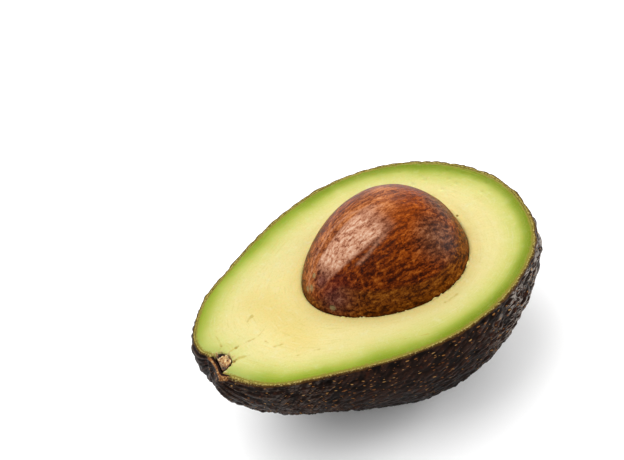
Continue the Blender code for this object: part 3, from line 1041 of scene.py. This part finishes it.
def make_seed():
    directions = seed_directions()
    lengthwise = directions[..., 0]
    wander = np.stack([noise_at(directions + i, SEED_WANDER_SIZE) for i in range(3)], axis=-1)
    wavy = directions + SEED_WANDER * wander
    seam = line_distance(wavy, SEAM) * SEED_SCALE
    ridge = line_distance(wavy, LIGHT_RIDGE) * SEED_SCALE
    veins = np.min([line_distance(wavy, vein) for vein in BUMPY_VEINS], axis=0) * SEED_SCALE
    crease = line_distance(wavy, CREASE) * SEED_SCALE
    corners = np.array(CREASE[:-1])
    heights = corners[:, 2] / length(corners)
    crease_height = np.interp(turn_of(directions), turn_of(corners), heights, period=2.0 * math.pi)
    base = smooth((crease_height - directions[..., 2]) / BASE_FADE + 0.5)

    fade = falling(lengthwise, *SEAM_END)
    relief = fade * (line_relief(seam, *SEAM_GROOVE) + line_relief(seam, *SEAM_BANK)) - SEED_SINK
    for distance, line in ((ridge, RIDGE_LINE), (veins, VEIN_LINE), (crease, CREASE_LINE)):
        relief += line_relief(distance, *line)
    relief += BASE_STEP * base
    relief += SEED_STREAKS * noise_at(directions * SEED_STREAK_STRETCH, SEED_STREAK_SIZE)
    relief += SEED_LUMPS * noise_at(directions, SEED_LUMP_SIZE)
    shown = rising(directions[..., 2], *SEED_SHOWN)
    relief = shown * relief - (1.0 - shown) * SEED_BURIED
    rows = seed_surface(directions, relief)

    def spots(places, firmness=1):
        away = [length(directions - place[:3]) / place[3] for place in np.array(places)]
        return np.max([bell(reach**firmness) for reach in away], axis=0)

    roll = np.degrees(np.arctan2(directions[..., 2], directions[..., 1]))
    lens = falling(np.abs(roll - LENS_ROLL) / LENS_WIDTH, *LENS_SIDE)
    lens = lens * rising(lengthwise, *LENS_START) * falling(lengthwise, *LENS_END)
    # Painted light: brighter orange along the upper vein and on the seed's top
    glow = np.maximum(bell(line_distance(directions, UPPER_VEIN) / GLOW_WIDTH), spots(GLOW_SPOTS, 2))
    fields = {
        "seam": fade * bell(seam / SEAM_COLOUR_WIDTH),
        "vein": np.maximum(bell(veins / VEIN_COLOUR_WIDTH), bell(ridge / RIDGE_LINE[1])),
        "crease": bell(crease / CREASE_LINE[1]),
        "base": base,
        "lens": lens,
        "dull": spots(DULL_SPOTS, 2),
        "glow": glow * (1.0 - lens),
        "over_mm": (rows[..., 2] - FACE_HEIGHT) / MM,
    }
    for name, places in SOFT_SPOTS.items():
        fields[name] = spots(places)
    half = SEED_HALF[0]
    ends = turned_seed(np.array(((-half, 0.0, 0.0), (half, 0.0, 0.0))))
    seed = ringed_mesh("seed_body", ends[0], rows, ends[1], fields)
    finish_piece(seed, "seed", seed_material())


def seed_material():
    s = Shading("seed")
    turned = s.stretched((1.0, 1.0, 1.0), turn=(0.0, 0.0, -SEED_TURN))
    long = s.stretched((0.3, 1.0, 1.0), s.shaken(2.2 * MM, 1.6 * MM, turned))
    streak = s.noise(0.85 * MM, 5.0, 0.7, long)
    blotch = s.noise(3.5 * MM, 4.0, 0.6, s.stretched((0.6, 1.0, 1.0), turned))
    crinkle = s.noise(0.65 * MM, 4.0, 0.75, s.shaken(0.9 * MM, 1.1 * MM, turned))
    fine = s.scaled(streak, 0.52, s.times(crinkle, 0.28))
    tone = s.scaled(blotch, 0.2, fine)
    colour = s.bands(tone, [
        (0.39, "#1c0500"), (0.445, "#3f1100"), (0.494, "#6e2900"), (0.544, "#9c4605"), (0.62, "#c87024"),
    ])
    # The pale band's tan is partly the seed's own colour and partly a painted highlight
    tan = s.bands(tone, [(0.40, "#7c3f28"), (0.455, "#be7a58"), (0.51, "#e6ab87"), (0.60, "#fdd9bc")])
    dull = s.bands(tone, [(0.40, "#200e06"), (0.46, "#482818"), (0.52, "#6e4329"), (0.60, "#947058")])
    # Painted light: the brighter orange of the glow
    glow = s.bands(tone, [(0.41, "#6a2808"), (0.47, "#b05c26"), (0.53, "#de8a4a"), (0.60, "#f4b27c")])
    olive = s.bands(tone, [(0.40, "#260b00"), (0.46, "#512300"), (0.52, "#804206"), (0.60, "#ab6c22")])
    plum = s.bands(tone, [(0.42, "#3a1512"), (0.5, "#683630"), (0.58, "#93655c")])
    broken = s.ramp(crinkle, 0.4, 0.6, 0.175, 0.7)
    layers = (
        ("top", 0.25, "#c05600"),
        ("glow", 0.6, glow),
        ("lens", 0.9, tan),
        ("dull", 0.75, dull),
        ("low", 0.3, "#3d1505"),
        ("red", 0.3, "#7a1c08"),
        ("base", 0.85, olive),
        ("plum", 0.75, plum),
        ("seam", broken, "#431b12"),
        ("vein", broken, "#cf9472"),
        ("crease", s.ramp(blotch, 0.4, 0.6, 0.1, 0.55), "#3b1706"),
    )
    colour = s.layered(colour, [(s.times(s.field(name), amount), over) for name, amount, over in layers])
    ragged = s.maths("ADD", s.field("pale"), s.scaled(crinkle, 1.4, -0.7))
    colour = s.mix(s.ramp(ragged, 0.35, 0.95, 0.0, 0.65), colour, "#a39668")
    # Painted shade: darker where the seed meets the cut face
    colour = s.mix(s.fall(s.field("over_mm"), 0.6, 0.0, 0.0, 0.6), colour, "#2e1204")
    gloss = s.ramp(crinkle, 0.35, 0.65, 0.28, 0.42)
    s.set(Base_Color=colour, Roughness=gloss, IOR=1.4, Specular_IOR_Level=0.055)
    s.bump(s.maths("ADD", streak, s.times(crinkle, 0.5)), 0.14 * MM, 0.5)
    return s.material


# Stub of stem

STUB_GAP = 0.36 * MM
STUB_INSET = 1.85 * MM
STUB_SLANT = 0.45
STUB_WHOLE_END = 0.4 * MM
STUB_NARROWEST = 0.985
STUB_ROUNDED = 0.35
STUB_ROUNDED_REACH = 0.5 * MM
STUB_SINK = 0.1 * MM
STUB_UNDER_SINK = 0.15 * MM
FIBRE_SIZE = 0.5 * MM
FIBRE_STRETCH = 0.5
FIBRE_HEIGHT = 0.25 * MM
FIBRE_REACH = 0.2 * MM
FIBRE_DIG = 0.5
CHUNK_SIZE = 1.3 * MM
CHUNK_OFFSET = 0.37
CHUNK_DIG = 1.3
DENT_SIZE = 0.9 * MM
DENT_OFFSET = 0.71
DENT_LEVEL = 0.3
DENT_CONTRAST = 1.8
DENT_DIG = 0.6
DENT_SIDE = (0.3 * MM, 1.4 * MM)
DENT_BACK = (-2.2 * MM, 1.0 * MM)
DIG_DEPTH = 1.1 * MM
DEEPEST_DIG = 0.8


def make_stub():
    half_width = TROUGH_HALF_WIDTH - STUB_GAP
    depth = TROUGH_DEPTH - STUB_GAP
    inner_end = TROUGH_STRAIGHT + TROUGH_ROUNDING - STUB_GAP
    inwards = np.linspace(STUB_INSET, inner_end, STUB_ROWS)[:, None]
    rounding = np.clip((inwards - TROUGH_STRAIGHT) / (inner_end - TROUGH_STRAIGHT), 0.0, STUB_NARROWEST)
    narrow = np.sqrt(1.0 - rounding**2)
    near_end = np.clip(1.0 - (inwards - STUB_INSET) / STUB_ROUNDED_REACH, 0.0, 1.0)
    outer_round = np.sqrt(1.0 - STUB_ROUNDED * near_end**2)
    width = half_width * narrow * outer_round
    over = np.linspace(1.0, -1.0, STUB_TOP_POINTS)
    under = np.linspace(math.pi, 2.0 * math.pi, STUB_UNDER_POINTS + 2)[1:-1]
    sideways = width * np.concatenate((over, np.cos(under)))
    lowness = depth * narrow * outer_round * np.concatenate((np.zeros_like(over), np.sin(under)))
    slant = STUB_SLANT * (inner_end - inwards) / (inner_end - STUB_INSET)
    outwards = slant * sideways - inwards
    place = np.stack((FIBRE_STRETCH * outwards, sideways, np.zeros_like(sideways)), axis=-1)
    fibre = noise_at(place, FIBRE_SIZE)
    chunk = np.clip(noise_at(place + CHUNK_OFFSET, CHUNK_SIZE), 0.0, 1.0)
    dents = falling(sideways, *DENT_SIDE) * falling(outwards, *DENT_BACK)
    deeper = noise_at(place + DENT_OFFSET, DENT_SIZE)
    dents = dents * np.clip(DENT_LEVEL + DENT_CONTRAST * deeper, 0.0, 1.0)
    dug = CHUNK_DIG * chunk + FIBRE_DIG * np.clip(fibre, 0.0, 1.0) + DENT_DIG * dents
    inside = rising(inwards, STUB_INSET, STUB_WHOLE_END) * falling(inwards, inner_end, STUB_WHOLE_END)
    edge = (1.0 - np.abs(sideways / width) ** 4) * inside
    top = -STUB_SINK - DIG_DEPTH * dug * edge + FIBRE_HEIGHT * fibre * edge
    is_top = np.concatenate((np.ones_like(over), np.zeros_like(under)))
    ragged = FIBRE_REACH * fibre * inside * falling(outwards, -STUB_INSET - MM, MM)
    sunk = is_top * np.maximum(top, -DEEPEST_DIG * depth * narrow) - (1.0 - is_top) * STUB_UNDER_SINK
    along = (outwards + ragged)[..., None] * STEM_OUT
    points = STEM_PLACE + along + sideways[..., None] * STEM_ACROSS
    points[..., 2] = FACE_HEIGHT + lowness + sunk
    fields = {"fibre": fibre, "dug": is_top * dug, "run": outwards / MM, "side": sideways / MM}
    stub = ringed_mesh("stem_stub_wood", points[0].mean(axis=0), points, points[-1].mean(axis=0), fields)
    # The rows run from the outer end inwards, so the faces are turned to look out of the stub
    stub.data.flip_normals()
    finish_piece(stub, "stem_stub", stub_material())


def stub_material():
    s = Shading("stub_of_stem")
    place = s.vector(s.times(s.field("run"), 0.55), s.field("side"))
    fibre = s.noise(0.55, 4.0, 0.65, place)
    lump = s.noise(1.0 * MM, 3.0)
    wood = s.bands(s.scaled(lump, 0.4, s.times(fibre, 0.6)), [
        (0.40, "#3c1a08"), (0.455, "#8f5726"), (0.5, "#c98d4b"), (0.55, "#edca88"), (0.61, "#fdeec0"),
    ])
    wood = s.mix(s.ramp(s.field("run"), -3.2, -1.6, 0.0, 0.8), wood, "#6e3d1e")
    # Painted shade: darker in the hollows dug into the stub's top
    wood = s.mix(s.ramp(s.field("dug"), 0.2, 0.6), wood, "#32180a")
    s.set(Base_Color=wood, Roughness=0.8)
    s.bump(fibre, 0.15 * MM, 0.8)
    return s.material


# Camera, light and floor

AIM = Vector((-3.46 * MM, 21.9 * MM, FACE_HEIGHT))
AZIMUTH = math.radians(-15.8)
ELEVATION = math.radians(44.7)
ROLL = math.radians(-15.8)
DISTANCE = 592.0 * MM
LENS = 127.9
SENSOR = 36.0

# The lights as name, place, size and power, with what they point at
LIGHTS = (
    ("overhead", (-0.30, 0.42, 1.05), 1.8, 14.5),
    ("behind", (0.50, 0.90, 0.40), 0.6, 3.2),
    ("right", (1.0, -0.15, 0.30), 0.6, 7.5),
)
LIGHT_AIM = Vector((0.0, 0.0, 0.02))
WHITE = (1.0, 1.0, 1.0, 1.0)
WORLD_STRENGTH = 0.92
FLOOR_SIZE = 6.0
FLOOR_COLOUR = (0.9, 0.9, 0.9, 1.0)
FLOOR_ROUGHNESS = 0.9


def add_camera():
    """Looks at the aim point from the azimuth and elevation, then rolls."""
    back = Vector((
        math.sin(AZIMUTH) * math.cos(ELEVATION),
        -math.cos(AZIMUTH) * math.cos(ELEVATION),
        math.sin(ELEVATION),
    ))
    data = bpy.data.cameras.new("camera")
    data.lens = LENS
    data.sensor_width = SENSOR
    camera = bpy.data.objects.new("camera", data)
    bpy.context.scene.collection.objects.link(camera)
    turn = (-back).to_track_quat("-Z", "Y").to_matrix() @ Matrix.Rotation(ROLL, 3, "Z")
    camera.matrix_world = Matrix.Translation(AIM + DISTANCE * back) @ turn.to_4x4()
    bpy.context.scene.camera = camera


def add_area_light(name, place, size, power):
    data = bpy.data.lights.new(name, "AREA")
    data.shape = "DISK"
    data.size = size
    data.energy = power
    light = bpy.data.objects.new(name, data)
    bpy.context.scene.collection.objects.link(light)
    light.location = place
    light.rotation_euler = (LIGHT_AIM - Vector(place)).to_track_quat("-Z", "Y").to_euler()


def add_stage():
    world = bpy.data.worlds.new("studio")
    world.use_nodes = True
    background = world.node_tree.nodes["Background"]
    background.inputs["Color"].default_value = WHITE
    background.inputs["Strength"].default_value = WORLD_STRENGTH
    bpy.context.scene.world = world
    bpy.ops.mesh.primitive_plane_add(size=FLOOR_SIZE)
    floor = bpy.context.object
    floor.name = "floor"
    s = Shading("floor")
    s.set(Base_Color=FLOOR_COLOUR, Roughness=FLOOR_ROUGHNESS)
    floor.data.materials.append(s.material)
    for light in LIGHTS:
        add_area_light(*light)


bpy.context.scene.view_settings.view_transform = "Standard"
make_peel()
make_flesh()
make_seed()
make_stub()
add_camera()
add_stage()
